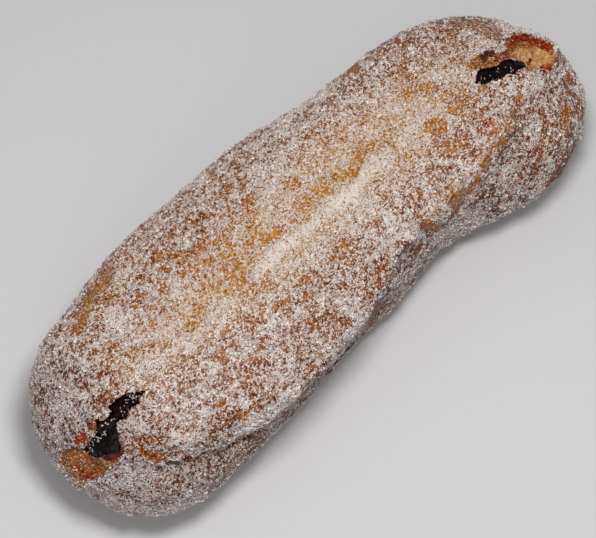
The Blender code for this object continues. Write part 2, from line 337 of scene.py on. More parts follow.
# Noises, each with its height, its lumps' size, its seed and, for finer layers, their number and their fall
STROKE_EDGES = ((1, 1.3 * MM, 21), (1, 3.1 * MM, 22))
CRUMB_EDGES = ((0.25, 1.1 * MM, 5), (0.15, 0.5 * MM, 6))
WRINKLES = ((0.16, 6 * MM, 1, 2), (0.08, 1.8 * MM, 2, 2))
STEEP_BUMPS = ((0.5, 4.6 * MM, 13), (0.4, 2.9 * MM, 4, 2, 0.4))
CRUMB_BUMPS = ((0.35, 2.4 * MM, 3, 3, 0.6),)
JAM_LUMPS = ((0.32, 2.6 * MM, 8), (0.07, 1.1 * MM, 9))
SUGAR_PATCHES = ((1, 5 * MM, 11, 4, 0.75),)
SUGAR_DRIFTS = ((0.08, 20 * MM, 14),)
FLECK_SIZE = 0.75 * MM
FLECKS = ((1, FLECK_SIZE, 12), (0.4, 2.6 * FLECK_SIZE, 15))
NOISE_STEP_BY_SEED = (17.3, 5.7, 29.1)
SEED_STEP_BY_LAYER = 31

# Where the sides grow bumpy, by how far down their normals point
SIDES_ARE_BUMPY = (-0.75, -0.2)
# The jam's top, by how squarely it faces the camera
JAM_TOP = (0, 0.5)

# Relief in millimetres, and the distances in millimetres over which it rises
SUGAR_HEAPS = 0.2
BARE_SINKS = 0.1
NICK_DEPTH = 0.8
NICK_RAGGEDNESS = 0.1
SHOULDER_FULLNESS = 1.0
CRUMB_SINKS_OVER = (-0.05, 0.3)
LIP_HEIGHT = 0.35
LIP_WIDTH = 0.5
FOLD_LIP_HEIGHT = 0.25
UNDERCUT = 0.7
UNDERCUT_BEGINS = (-0.1, 0.5)
UNDERCUT_ENDS = (0.8, 2.6)
JAM_SWELLS = 0.1
JAM_RIDGE_HEIGHT = 0.7
JAM_RIDGE_RAGGEDNESS = 0.15

# The sugar's loose grains: each kind's crystal, how many there are, and their sizes in millimetres
SUGAR_KINDS = (
    ("sugar_coarse", "block", 9000, (0.34, 0.48)),
    ("sugar_medium", "double_pyramid", 24500, (0.28, 0.38)),
    ("sugar_small", "double_wedge", 33000, (0.23, 0.33)),
    ("sugar_fine", "splinter", 49500, (0.20, 0.30)),
)

# Crystals of four shapes: corners, in half sizes, and faces
CRYSTALS = {
    "block": (
        [(x, y, z) for x in (-1, 1) for y in (-1, 1) for z in (-1, 1)],
        ((0, 1, 3, 2), (4, 6, 7, 5), (0, 4, 5, 1), (2, 3, 7, 6), (0, 2, 6, 4), (1, 5, 7, 3)),
    ),
    "double_pyramid": (
        [(1.3, 0, 0), (-1.3, 0, 0), (0, 1.3, 0), (0, -1.3, 0), (0, 0, 1.3), (0, 0, -1.3)],
        ((0, 2, 4), (2, 1, 4), (1, 3, 4), (3, 0, 4), (2, 0, 5), (1, 2, 5), (3, 1, 5), (0, 3, 5)),
    ),
    "double_wedge": (
        [(1.4, 0, 0), (-0.7, 1.2, 0), (-0.7, -1.2, 0), (0, 0, 1.3), (0, 0, -1.3)],
        ((0, 1, 3), (1, 2, 3), (2, 0, 3), (1, 0, 4), (2, 1, 4), (0, 2, 4)),
    ),
    "splinter": (
        [(1, 1, 1), (-1, -1, 1), (-1, 1, -1), (1, -1, -1)],
        ((0, 2, 1), (0, 1, 3), (0, 3, 2), (1, 2, 3)),
    ),
}

# Crumbs on the bare dough: how many, their sizes in millimetres, how uneven they are and how far in they lie
CRUMB_COUNT = 240
CRUMB_SIZES = (0.25, 0.65)
CRUMB_UNEVENNESS = 0.6
CRUMB_LUMPINESS = 2.2
CRUMB_SEED = 17
CRUMBS_LIE_INSIDE = (0.1, 0.5)

# A loose body's width, thickness, lift from the crust and unevenness, as shares of its length
BODY_WIDTH = (0.7, 1)
BODY_THICKNESS = (0.55, 0.95)
BODY_LIFT = (0.0, 0.35)
BODY_UNEVENNESS = 0.12

# How thick the sugar lies, and how that changes along the wall under the fold, between two pixels across
COVER = 0.52
BAREST = 0.12
THICKEST = 1.0
COVER_LIMITS = (-0.15, 1.3)
MORE_COVER_AT_LEFT_END = 0.06
WALL_COVER_CHANGES = (190, 260)
WALL_COVER = (0.50, 0.36)
WALL_COVER_COUNTS = 0.8
WALL_FLECKS_FADE = 0.3

# How deep its patches and flecks are, on the crown and then from the flanks outwards
FULL_DEPTH_AT = (0, 0.5)
PATCH_DEPTH = (0.14, 0.22)
FLECK_DEPTH = (0.32, 0.62)

# Where the loose grains lie: by the cover, in clusters, and fewer on the crumb, the stains and the underside
GRAINS_BY_COVER = (-0.3, 0.8)
GRAINS_CLING = (0.32, 0.62)
GRAINS_BETWEEN_CLUSTERS = 0.05
TRIES_FOR_EACH_GRAIN = 3
GRAINS_ON_CRUMBS = (0.22, 0.05)
CRUMB_CLEARS_OVER = (-0.3, 0.1)
TEAR_CLEARS_OVER = (-0.05, 0.05)
GRAINS_UNDERNEATH = 0.15
UNDERNEATH_ENDS = (0.3 * MM, 2.5 * MM)
GRAINS_LOST = ((SOAKED, 0.85), (STAINED, 0.6))
OUTER_CRUST = (0.5, 0.95)

# A grain's tint, from amber to white: partly drawn by chance, and paler where the sugar lies thick
TINT_BY_CHANCE = 0.75
TINT_BY_COVER = 0.6
TINT_ADDED = -0.2

# How far from the middle the golden crown turns into the browner flanks and ends
FLANK_BEGINS = 11 * MM
END_BEGINS = 58 * MM
FLANK_SPREADS = (0.4, 1.4)
END_SPREADS = 1.2
LEFT_END = (52 * MM, 66 * MM)
RIGHT_END = (46 * MM, 52 * MM)
FAR_SIDE = (8 * MM, 23 * MM)

# How far down the normals point where the walls begin and where they are steep, and the rim's share of that
STEEPENS = (-0.8, -0.1)
RIM_STEEPENS = (0.5, 0.9)

# How much browner or more golden each of them is; the browning of the steep walls and of the wall under the
# fold is partly painted shade, and the shoulder's gold is painted light
FLANK_BROWN = 0.45
STEEP_BROWN_AND_SHADE = 0.68
STEEP_LOSES_AT_ENDS = 0.5
LEFT_END_BROWN = 0.58
WALL_BROWN_AND_SHADE = 0.9
WALL_BEGINS = (-0.15, 0.35)
BARE_GOLDEN = 0.55
SHOULDER_PAINTED_LIGHT = 0.6
FAR_SIDE_GOLDEN = 0.32

# Colours from the golden crown over the flanks to the walls and ends; the walls' darker, duller crust and
# sugar are partly the browner crust and partly painted shade
ACROSS_BUN = (0, 0.4, 1)
CRUST_DEEP_AND_GAP_SHADE = ((0.25, 0.080, 0.008), (0.08, 0.014, 0.002), (0.030, 0.007, 0.002))
CRUST_DARK = ((0.42, 0.165, 0.014), (0.25, 0.056, 0.003), (0.11, 0.022, 0.005))
CRUST_LIGHT = ((0.60, 0.275, 0.030), (0.41, 0.125, 0.008), (0.20, 0.048, 0.010))
BED_DULL = ((0.52, 0.40, 0.30), (0.37, 0.26, 0.18), (0.22, 0.155, 0.125))
BED_BRIGHT = ((0.79, 0.705, 0.63), (0.83, 0.765, 0.73), (0.60, 0.555, 0.54))
GRAIN_AMBER = ((0.50, 0.36, 0.25), (0.38, 0.235, 0.14), (0.22, 0.13, 0.095))
GRAIN_WHITE = ((0.84, 0.77, 0.71), (0.93, 0.885, 0.87), (0.78, 0.74, 0.73))

# Pairs of colours that a noise mixes
TOASTED = ((0.17, 0.036, 0.004), (0.45, 0.16, 0.028))
BEIGE = ((0.48, 0.23, 0.065), (0.78, 0.52, 0.24))
RED = ((0.12, 0.009, 0.002), (0.44, 0.048, 0.004))
SOAKED_DARK = ((0.030, 0.007, 0.003), (0.14, 0.032, 0.010))
JAM_COLOURS = ((0.002, 0.001, 0.001), (0.009, 0.003, 0.003))

# Noise in the finishes: its lumps' size, its detail and the two levels that it is spread between
CRUST_MOTTLING = (1.1 * MM, 4, 0.4, 0.6)
CRUMB_MOTTLING = (0.8 * MM, 5, 0.34, 0.66)
STAIN_MOTTLING = (0.9 * MM, 3, 0.4, 0.6)
JAM_MOTTLING = (2 * MM, 3, 0.4, 0.6)
SPECKLE = (0.5 * MM, 3, 0.4, 0.6)
JAM_GRAIN = (0.7 * MM, 2, 0.3, 0.7)
EDGE_GRAIN = (0.5 * MM, 3, 0.3, 0.7)
EDGE_BY_GRAIN = 0.8
EDGE_SHOWS = (0.7, 1.1)

# The bed of grains pressed into the crust: its pitch, what thickens it and how dark the painted shade in its
# gaps is
BED_PITCH = 0.37 * MM
BED_BY_COVER = 0.6
BED_BY_CRYSTAL = 0.75
BED_BY_DISTANCE = -0.8
BED_SHOWS = (0.23, 0.33)
GAP_SHADE_BY_CRYSTAL = -2.2
GAP_SHADE_ADDED = 1.3

# Where the crumb's colour begins, in millimetres inside it
CRUMB_SHOWS = (-0.05, 0.1)

# How rough each finish is and how strongly it reflects
SHINE = {
    "sugar": (0.45, 0.5),
    "fried_crust": (0.5, 0.2),
    "jam": (0.06, 0.16),
    "crumb": (0.7, 0.5),
    "floor": (0.9, 0.5),
}

# Fine bumps in the finishes: their strength and their height
CRUST_BUMP = (0.8, 0.18 * MM)
JAM_BUMP = (0.4, 0.1 * MM)

# A mix node's sockets for plain values and for colours: its two inputs and its output
MIX_SOCKETS = {"FLOAT": (2, 3, 0), "RGBA": (6, 7, 2)}

# The studio: its lamps' places, sizes and powers, the point that they aim at, its sky and its floor
LAMPS = (
    ("key", (-0.02, -0.05, 0.36), 0.09, 0.735),
    ("fill", (-0.45, -0.2, 0.25), 0.45, 0.49),
)
LAMPS_AIM = Vector((0, 0, 0.015))
WHITE = (1, 1, 1, 1)
SKY_STRENGTH = 0.30
FLOOR_COLOUR = (0.70, 0.70, 0.70, 1)
FLOOR_REACH = 3


def eased(share):
    share = np.clip(share, 0, 1)
    return share * share * (3 - 2 * share)


def between(value, low, high):
    """0 below low, 1 above high, eased in between."""
    return eased((value - low) / (high - low))


def noise_at(points, size, seed):
    """Smooth noise from about -1 to 1 at each point, with lumps of the given size in metres."""
    shift = Vector([seed * step for step in NOISE_STEP_BY_SEED])
    scaled = (points / size).tolist()
    return np.fromiter((noise.noise(Vector(p) + shift) for p in scaled), float, len(scaled))


def layered_noise(points, size, seed, layers=1, fall=0.5):
    """Noise in layers, each with lumps half the size of the last's and weaker by the fall."""
    total = 0
    weight = 1
    for layer in range(layers):
        total = total + weight * noise_at(points, size / 2**layer, seed + SEED_STEP_BY_LAYER * layer)
        weight *= fall
    return total


def uneven(points, noises):
    """The sum of several noises at each point."""
    total = 0
    for height, size, seed, *finer in noises:
        total = total + height * layered_noise(points, size, seed, *finer)
    return total


def photo_pixels(points):
    """Where points lie in the photograph's frame."""
    from_eye = points - EYE
    depth = -(from_eye @ TO_CAMERA)
    right = TARGET_PIXEL[0] + FOCAL_PIXELS * (from_eye @ CAMERA_RIGHT) / depth
    down = TARGET_PIXEL[1] - FOCAL_PIXELS * (from_eye @ CAMERA_UP) / depth
    return np.stack([right, down], axis=-1)


def ray_through(pixel):
    """The direction from the camera through a pixel of the photograph."""
    right = (pixel[0] - TARGET_PIXEL[0]) / FOCAL_PIXELS
    down = (pixel[1] - TARGET_PIXEL[1]) / FOCAL_PIXELS
    return Vector(right * CAMERA_RIGHT - down * CAMERA_UP - TO_CAMERA).normalized()


def faces_camera(normals):
    return normals @ TO_CAMERA > FACES_CAMERA


def distance_from(pixels, start, end):
    """How far pixels lie from the straight line between two of them, which may be the same."""
    edge = np.subtract(end, start, dtype=float)
    from_start = pixels - start
    share = np.clip((from_start @ edge) / max(edge @ edge, np.finfo(float).tiny), 0, 1)
    return np.hypot(*(from_start - share[:, None] * edge).T)


def inside_outline(pixels, outline):
    """How far each pixel lies inside a closed outline, in millimetres on the bun, and negative outside it."""
    nearest = np.full(len(pixels), np.inf)
    inside = np.zeros(len(pixels), bool)
    for (ax, ay), (bx, by) in zip(outline, outline[1:] + outline[:1]):
        nearest = np.minimum(nearest, distance_from(pixels, (ax, ay), (bx, by)))
        crosses = (ay > pixels[:, 1]) != (by > pixels[:, 1])
        with np.errstate(divide="ignore", invalid="ignore"):
            where = ax + (pixels[:, 1] - ay) * (bx - ax) / (by - ay)
        inside ^= crosses & (pixels[:, 0] < where)
    return np.where(inside, nearest, -nearest) / PIXELS_PER_MM


def inside_any(pixels, outlines):
    return np.max([inside_outline(pixels, outline) for outline in outlines], axis=0)


def stroke_share(points, normals, strokes, raggedness=STROKE_RAGGEDNESS):
    """How strongly strokes of the photograph cover each point, from 0 up to the strokes' own strength."""
    pixels = photo_pixels(points)
    seen = between(normals @ TO_CAMERA, *STROKES_SHOW)
    ragged = 1 + raggedness * uneven(points, STROKE_EDGES)
    total = np.zeros(len(points))
    for line, width, strength in strokes:
        parts = zip(line, line[1:] or line)
        nearest = np.min([distance_from(pixels, start, end) for start, end in parts], axis=0)
        fade_begins, fade_ends = (share * width for share in STROKE_FADES)
        total = np.maximum(total, strength * (1 - between(nearest * ragged, fade_begins, fade_ends)))
    return total * seen


def numbers_of(collection, field, width):
    """A field of a mesh's elements, a row to each."""
    values = np.empty(len(collection) * width, np.float32)
    collection.foreach_get(field, values)
    return values.reshape(-1, width).astype(float)


def mesh_points(mesh):
    return numbers_of(mesh.vertices, "co", 3)


def mesh_normals(mesh):
    return numbers_of(mesh.vertex_normals, "vector", 3)


def set_points(mesh, points):
    mesh.vertices.foreach_set("co", points.astype(np.float32).ravel())
    mesh.update()


def triangles_of(mesh):
    mesh.calc_loop_triangles()
    corners = np.empty(len(mesh.loop_triangles) * 3, np.int32)
    mesh.loop_triangles.foreach_get("vertices", corners)
    return corners.reshape(-1, 3)


def store(mesh, name, values):
    """Keeps a value for each vertex under a name that the finishes read."""
    mesh.attributes.new(name, "FLOAT", "POINT").data.foreach_set("value", np.asarray(values, np.float32))


def new_object(name, data):
    thing = bpy.data.objects.new(name, data)
    bpy.context.scene.collection.objects.link(thing)
    return thing


def object_from(name, bm):
    mesh = bpy.data.meshes.new(name)
    bm.to_mesh(mesh)
    bm.free()
    return new_object(name, mesh)


def remove(*things):
    for thing in things:
        bpy.data.objects.remove(thing, do_unlink=True)


def apply_modifiers(thing):
    bpy.context.view_layer.update()
    graph = bpy.context.evaluated_depsgraph_get()
    mesh = bpy.data.meshes.new_from_object(thing.evaluated_get(graph))
    thing.modifiers.clear()
    old, thing.data = thing.data, mesh
    bpy.data.meshes.remove(old)


def remesh(thing, voxel, smoothing):
    modifier = thing.modifiers.new("remesh", "REMESH")
    modifier.mode = "VOXEL"
    modifier.voxel_size = voxel
    modifier.adaptivity = 0
    smooth = thing.modifiers.new("smooth", "SMOOTH")
    smooth.factor = SMOOTHING_FACTOR
    smooth.iterations = smoothing
    apply_modifiers(thing)


def boolean(thing, other, operation):
    """Cuts, joins or meets a thing with another, which is used up."""
    modifier = thing.modifiers.new(other.name, "BOOLEAN")
    modifier.operation = operation
    modifier.object = other
    modifier.solver = "MANIFOLD"
    apply_modifiers(thing)
    remove(other)


def grown_copy(name, node, reach):
    """A copy of a CAD node, pushed out along its surface's normals."""
    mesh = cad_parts[node].data.copy()
    bm = bmesh.new()
    bm.from_mesh(mesh)
    bmesh.ops.remove_doubles(bm, verts=bm.verts, dist=WELDED_WITHIN)
    bm.normal_update()
    for corner in bm.verts:
        corner.co += reach * corner.normal
    bm.to_mesh(mesh)
    bm.free()
    mesh.materials.clear()
    mesh.name = name
    return new_object(name, mesh)


def join(name, *things):
    bm = bmesh.new()
    for thing in things:
        bm.from_mesh(thing.data)
    remove(*things)
    return object_from(name, bm)


def tree_of(thing):
    """The thing's surface, for rays to be cast at."""
    bm = bmesh.new()
    bm.from_mesh(thing.data)
    tree = BVHTree.FromBMesh(bm)
    bm.free()
    return tree


def split_many_sided(bm):
    bmesh.ops.triangulate(bm, faces=[face for face in bm.faces if len(face.verts) > 4])


def into_crumb(points, normals):
    """How far inside the bare crumb's ragged edge each point lies, in millimetres, negative outside."""
    inside = inside_any(photo_pixels(points), CRUMBS)
    return np.where(faces_camera(normals), inside, -np.inf) + uneven(points, CRUMB_EDGES)


def near_wall(points, normals):
    """How far under the fold's lip each point lies, in millimetres, and from 0 to 1 how plainly it shows."""
    pixels = photo_pixels(points)
    plain = (1 - between(pixels[:, 0], *NEAR_WALL_FADES)) * faces_camera(normals)
    return inside_outline(pixels, NEAR_WALL), plain


def refine_near_tears(thing):
    """Splits the skin's faces once around the tears, the crumb and the fold's lip."""
    bm = bmesh.new()
    bm.from_mesh(thing.data)
    bm.normal_update()
    pixels = photo_pixels(np.array([face.calc_center_median() for face in bm.faces]))
    near = inside_any(pixels, TEARS + CRUMBS) > -REFINED_AROUND_TEARS / MM
    near |= np.abs(inside_outline(pixels, NEAR_WALL)) < REFINED_AROUND_LIP / MM
    near &= faces_camera(np.array([face.normal for face in bm.faces]))
    edges = list({edge for face, chosen in zip(bm.faces, near) if chosen for edge in face.edges})
    bmesh.ops.subdivide_edges(bm, edges=edges, cuts=1, use_grid_fill=True)
    split_many_sided(bm)
    bm.to_mesh(thing.data)
    bm.free()


def skin():
    """The bun's closed outer skin, with the jam's place filled and the solid's facets smoothed out."""
    solid = join("skin", grown_copy("bun", "dough", 0), grown_copy("core", "jam", FILLED_OVER_JAM))
    remesh(solid, SKIN_VOXEL, SKIN_SMOOTHING)
    refine_near_tears(solid)
    return solid


def rolled_lip(distance):
    """A low ridge that runs along the outside of an edge, by how far inside the edge a point lies."""
    return np.exp(-((distance / LIP_WIDTH + 1) ** 2))


def crust_relief(points, normals):
    """How far the crust stands out: wrinkles, heaped sugar, nicks, rolled lips and the sunken crumb."""
    wrinkles = uneven(points, WRINKLES)
    wrinkles = wrinkles + uneven(points, STEEP_BUMPS) * between(-normals[:, 2], *SIDES_ARE_BUMPY)
    heaped = SUGAR_HEAPS * stroke_share(points, normals, SUGARED_AND_PAINTED_LIGHT)
    heaped = heaped - BARE_SINKS * stroke_share(points, normals, BARE_AND_PAINTED_SHADE)
    nicked = NICK_DEPTH * stroke_share(points, normals, NICKS, NICK_RAGGEDNESS)
    inside = into_crumb(points, normals)
    crumb = between(inside, *CRUMB_SINKS_OVER)
    inside_tear = inside_any(photo_pixels(points), TEARS)
    lip = LIP_HEIGHT * rolled_lip(np.maximum(inside, inside_tear)) * faces_camera(normals)
    under, plain = near_wall(points, normals)
    cut = UNDERCUT * between(under, *UNDERCUT_BEGINS) * (1 - between(under, *UNDERCUT_ENDS))
    fold = FOLD_LIP_HEIGHT * rolled_lip(under) - cut
    full = SHOULDER_FULLNESS * stroke_share(points, normals, SHOULDER, 0)
    outside = wrinkles + heaped + lip - nicked + fold * plain + full
    sunken = uneven(points, CRUMB_BUMPS) - CRUMB_SUNK / MM
    return MM * ((1 - crumb) * outside + crumb * sunken)


def torn_ring(outline, tree, seed):
    """Points on the skin along an outline, a small step apart and pushed a little to and fro."""
    rng = np.random.default_rng(seed)
    corners = np.array(outline, float)
    ring = []
    for here, there in zip(corners, np.roll(corners, -1, axis=0)):
        steps = max(1, round(np.hypot(*(there - here)) / (PIXELS_PER_MM * TEAR_STEP / MM)))
        for share in np.arange(steps) / steps:
            jitter = rng.normal(0, TEAR_JITTER / MM * PIXELS_PER_MM, 2)
            place, *_ = tree.ray_cast(Vector(EYE), ray_through(here + share * (there - here) + jitter))
            if place is not None:
                ring.append(place)
    return ring


def prism(name, ring, above, below):
    """A closed prism over a ring of points, from above them to below them along the camera's view."""
    bm = bmesh.new()
    view = Vector(TO_CAMERA)
    top = [bm.verts.new(place + above * view) for place in ring]
    bottom = [bm.verts.new(place - below * view) for place in ring]
    for i in range(len(ring)):
        j = (i + 1) % len(ring)
        bm.faces.new((top[i], top[j], bottom[j], bottom[i]))
    bm.faces.new(top)
    bm.faces.new(list(reversed(bottom)))
    split_many_sided(bm)
    bmesh.ops.recalc_face_normals(bm, faces=bm.faces)
    if bm.calc_volume(signed=True) < 0:
        bmesh.ops.reverse_faces(bm, faces=bm.faces)
    return object_from(name, bm)


def build_dough(dough):
    """Makes the skin the dough: gives it relief, cuts it open at the tears and hollows it for the jam."""
    points, normals = mesh_points(dough.data), mesh_normals(dough.data)
    lifted = points + crust_relief(points, normals)[:, None] * normals
    lifted[:, 2] = np.maximum(lifted[:, 2], 0)
    set_points(dough.data, lifted)
    store(dough.data, "outer", np.ones(len(lifted)))
    tree = tree_of(dough)
    rings = [torn_ring(outline, tree, TEAR_SEED + i) for i, outline in enumerate(TEARS)]
    for ring in rings:
        boolean(dough, prism("tear", ring, TEAR_CLEARS, TEAR_DEPTH), "DIFFERENCE")
    boolean(dough, grown_copy("tunnel", "jam", JAM_CLEARANCE), "DIFFERENCE")
    dough.name = "sugared_dough"
    return rings


def build_jam(below_crust, rings):
    """The jam: the CAD core, widened to fill each tear to a little below the crust."""
    jam = grown_copy("jam_filling", "jam", 0)
    for ring in rings:
        fill = prism("fill", ring, TEAR_CLEARS, TEAR_DEPTH - FILLED_ABOVE_TEARS_FLOOR)
        boolean(fill, new_object("under", below_crust.data.copy()), "INTERSECT")
        remesh(fill, JAM_VOXEL, JAM_SMOOTHING)
        points, normals = mesh_points(fill.data), mesh_normals(fill.data)
        ridges = JAM_RIDGE_HEIGHT * stroke_share(points, normals, JAM_RIDGES, JAM_RIDGE_RAGGEDNESS)
        lumps = uneven(points, JAM_LUMPS) + ridges
        on_top = between(normals @ TO_CAMERA, *JAM_TOP)
        set_points(fill.data, points + MM * (JAM_SWELLS + on_top * lumps)[:, None] * normals)
        boolean(jam, fill, "UNION")
    return jam


def sunken_copy(thing, depth):
    """A copy of a thing, drawn in by a depth."""
    copy = new_object("sunken", thing.data.copy())
    set_points(copy.data, mesh_points(copy.data) - depth * mesh_normals(copy.data))
    return copy


def side_share(points, normals):
    """From 0 on the bun's golden crown, over flanks and ends, to 1 on its brown, steep walls: partly painted
    shade.
    """
    steep = between(-normals[:, 2], *STEEPENS)
    at_ends = between(np.abs(points[:, 0]), END_BEGINS, END_SPREADS * END_BEGINS)
    steep = steep * (1 - STEEP_LOSES_AT_ENDS * at_ends)
    flank = between(np.hypot(points[:, 1] / FLANK_BEGINS, points[:, 0] / END_BEGINS), *FLANK_SPREADS)
    left_end = between(-points[:, 0], *LEFT_END)
    right_rim = between(steep, *RIM_STEEPENS) * between(points[:, 0], *RIGHT_END)
    bare = np.clip(stroke_share(points, normals, BARE_AND_PAINTED_SHADE), 0, 1)
    rubbed = 1 - BARE_GOLDEN * bare * (1 - right_rim)
    # The shoulder is painted more golden, as painted light
    shoulder_painted_light = 1 - SHOULDER_PAINTED_LIGHT * stroke_share(points, normals, SHOULDER)
    far = 1 - FAR_SIDE_GOLDEN * between(points[:, 1], *FAR_SIDE)
    # Flanks, steep walls and the left end are painted browner; on the steep walls that is partly painted
    # shade
    brown_and_shade = np.clip(FLANK_BROWN * flank + STEEP_BROWN_AND_SHADE * steep + LEFT_END_BROWN * left_end, 0, 1)
    under, plain = near_wall(points, normals)
    # The wall under the fold's lip is painted brown: partly its crust, partly painted shade under the
    # overhang
    return np.maximum(rubbed * shoulder_painted_light * far * brown_and_shade, WALL_BROWN_AND_SHADE * plain * between(under, *WALL_BEGINS))


def sugar_cover(points, normals, side):
    """How much sugar covers the crust at each point, from about 0, bare, to about 1, thick."""
    cover = COVER + uneven(points, SUGAR_PATCHES) * np.interp(side, FULL_DEPTH_AT, PATCH_DEPTH)
    cover = cover + uneven(points, SUGAR_DRIFTS) + MORE_COVER_AT_LEFT_END * between(-points[:, 0], *LEFT_END)
    under, plain = near_wall(points, normals)
    on_wall = np.interp(photo_pixels(points)[:, 0], WALL_COVER_CHANGES, WALL_COVER)
    cover = cover + WALL_COVER_COUNTS * (on_wall - cover) * plain * between(under, *WALL_BEGINS)
    cover = cover + (BAREST - cover) * stroke_share(points, normals, BARE_AND_PAINTED_SHADE)
    cover = cover + (THICKEST - cover) * stroke_share(points, normals, SUGARED_AND_PAINTED_LIGHT)
    on_crust = 1 - WALL_FLECKS_FADE * plain * between(under, 0, 1)
    depth = np.interp(side, FULL_DEPTH_AT, FLECK_DEPTH) * on_crust
    return np.clip(cover, *COVER_LIMITS) + depth * uneven(points, FLECKS)


def grain_weight(points, normals, cover, outer):
    """How densely the grains lie at each point of the crust: none in the tears, and few on the crumb."""
    left_on_crumb = np.where(points[:, 0] < 0, *GRAINS_ON_CRUMBS)
    clear = 1 - (1 - left_on_crumb) * between(into_crumb(points, normals), *CRUMB_CLEARS_OVER)
    in_tears = between(inside_any(photo_pixels(points), TEARS), *TEAR_CLEARS_OVER)
    clear = clear * (1 - in_tears * faces_camera(normals))
    for strokes, lost in GRAINS_LOST:
        clear = clear * (1 - lost * stroke_share(points, normals, strokes))
    off_floor = between(points[:, 2], *UNDERNEATH_ENDS)
    off_floor = GRAINS_UNDERNEATH + (1 - GRAINS_UNDERNEATH) * off_floor
    return between(outer, *OUTER_CRUST) * clear * off_floor * between(cover, *GRAINS_BY_COVER)


def random_turns(rng, count):
    """Random rotation matrices."""
    w, x, y, z = rng.normal(size=(count, 4)).T
    length = np.sqrt(w * w + x * x + y * y + z * z)
    w, x, y, z = w / length, x / length, y / length, z / length
    rows = np.array((
        (1 - 2 * (y * y + z * z), 2 * (x * y - z * w), 2 * (x * z + y * w)),
        (2 * (x * y + z * w), 1 - 2 * (x * x + z * z), 2 * (y * z - x * w)),
        (2 * (x * z - y * w), 2 * (y * z + x * w), 1 - 2 * (x * x + y * y)),
    ))
    return np.moveaxis(rows, 2, 0)


def drawn_evenly(weights, count, rng):
    """Picks of the given count, each as likely as its weight, spread evenly over the list."""
    total = np.cumsum(weights)
    steps = (np.arange(count) + rng.random(count)) / count * total[-1]
    return np.searchsorted(total, steps)


def on_surface(surface, weight, fields, count, rng):
    """Places drawn over a surface, closer where its weight is greater, with the normals and fields there."""
    points, normals, corners = mesh_points(surface), mesh_normals(surface), triangles_of(surface)
    first, second, third = (points[corners[:, i]] for i in range(3))
    area = np.linalg.norm(np.cross(second - first, third - first), axis=1) / 2
    chosen = corners[drawn_evenly(area * weight[corners].mean(axis=1), count, rng)]
    across, along = rng.random((2, count))
    folded = across + along > 1
    across, along = np.where(folded, 1 - across, across), np.where(folded, 1 - along, along)
    shares = np.stack([1 - across - along, across, along], axis=1)[..., None]
    found = (np.hstack([points, normals, fields])[chosen] * shares).sum(axis=1)
    normal = found[:, 3:6] / np.linalg.norm(found[:, 3:6], axis=1, keepdims=True)
    return found[:, :3], normal, found[:, 6:]


def clinging(surface, weight, fields, count, rng):
    """Places for grains, which cling together where the sugar covers the crust and leave gaps between."""
    place, normal, values = on_surface(surface, weight, fields, count * TRIES_FOR_EACH_GRAIN, rng)
    clustered = between(values[:, 0], *GRAINS_CLING)
    likely = GRAINS_BETWEEN_CLUSTERS + (1 - GRAINS_BETWEEN_CLUSTERS) * clustered
    stay = drawn_evenly(likely, count, rng)
    return place[stay], normal[stay], values[stay]


def fallen_and_highlight_on_jam(jam, dough, rng):
    """Places on the jam where the tears show it, for fallen and painted-highlight grains, with their normals,
    cover and side.
    """
    jam_tree, dough_tree = tree_of(jam), tree_of(dough)
    found = []
    for middle, spread, count in FALLEN_AND_HIGHLIGHT_GRAINS:
        for pixel in rng.normal(middle, spread / 2, (count, 2)):
            along = ray_through(pixel)
            place, normal, _, distance = jam_tree.ray_cast(Vector(EYE), along)
            crust = dough_tree.ray_cast(Vector(EYE), along)[3]
            if place is not None and (crust is None or distance < crust):
                found.append((place, normal))
    places, normals = (np.array([tuple(pair[i]) for pair in found]) for i in range(2))
    return places, normals, np.tile(FALLEN_AND_HIGHLIGHT_COVER_AND_SIDE, (len(found), 1))


def scattered(name, lying, shape, sizes, rng):
    """One mesh of closed little bodies of one shape, half sunk where they lie and turned at random."""
    place, normal, (cover, side) = lying[0], lying[1], lying[2].T
    count = len(place)
    corners, faces = np.array(shape[0], float) / 2, np.array(shape[1])
    size = rng.uniform(*sizes, count) * MM
    wide = rng.uniform(*BODY_WIDTH, count)
    thick = rng.uniform(*BODY_THICKNESS, count)
    stretch = np.stack([np.ones(count), wide, thick], axis=1)
    body = corners[None] * (size[:, None] * stretch)[:, None]
    body = body * (1 + rng.uniform(-BODY_UNEVENNESS, BODY_UNEVENNESS, body.shape))
    body = np.einsum("nij,nkj->nki", random_turns(rng, count), body)
    lift = size * rng.uniform(*BODY_LIFT, count)
    body = body + (place + lift[:, None] * normal)[:, None]
    body[..., 2] = np.maximum(body[..., 2], 0)
    first_corners = np.arange(count) * len(corners)
    all_faces = (faces[None] + first_corners[:, None, None]).reshape(-1, faces.shape[1])
    mesh = bpy.data.meshes.new(name)
    mesh.from_pydata(body.reshape(-1, 3).tolist(), [], all_faces.tolist())
    tint = TINT_BY_CHANCE * rng.random(count) + TINT_BY_COVER * cover + TINT_ADDED
    store(mesh, "tint", np.repeat(np.clip(tint, 0, 1), len(corners)))
    store(mesh, "side", np.repeat(side, len(corners)))
    return new_object(name, mesh)


def crumb_shape():
    """A ball of few faces with uneven corners, as a crumb of dough."""
    bm = bmesh.new()
    bmesh.ops.create_icosphere(bm, subdivisions=2, radius=1)
    for corner in bm.verts:
        corner.co *= 1 + CRUMB_UNEVENNESS * noise.noise(CRUMB_LUMPINESS * corner.co)
    bm.verts.ensure_lookup_table()
    shape = [tuple(corner.co) for corner in bm.verts], [[v.index for v in face.verts] for face in bm.faces]
    bm.free()
    return shape


def new_finish(name):
    """A new material, its node tree and its shader."""
    finish = bpy.data.materials.new(name)
    finish.use_nodes = True
    shader = finish.node_tree.nodes["Principled BSDF"]
    for socket, value in zip(("Roughness", "Specular IOR Level"), SHINE[name]):
        shader.inputs[socket].default_value = value
    return finish, finish.node_tree, shader


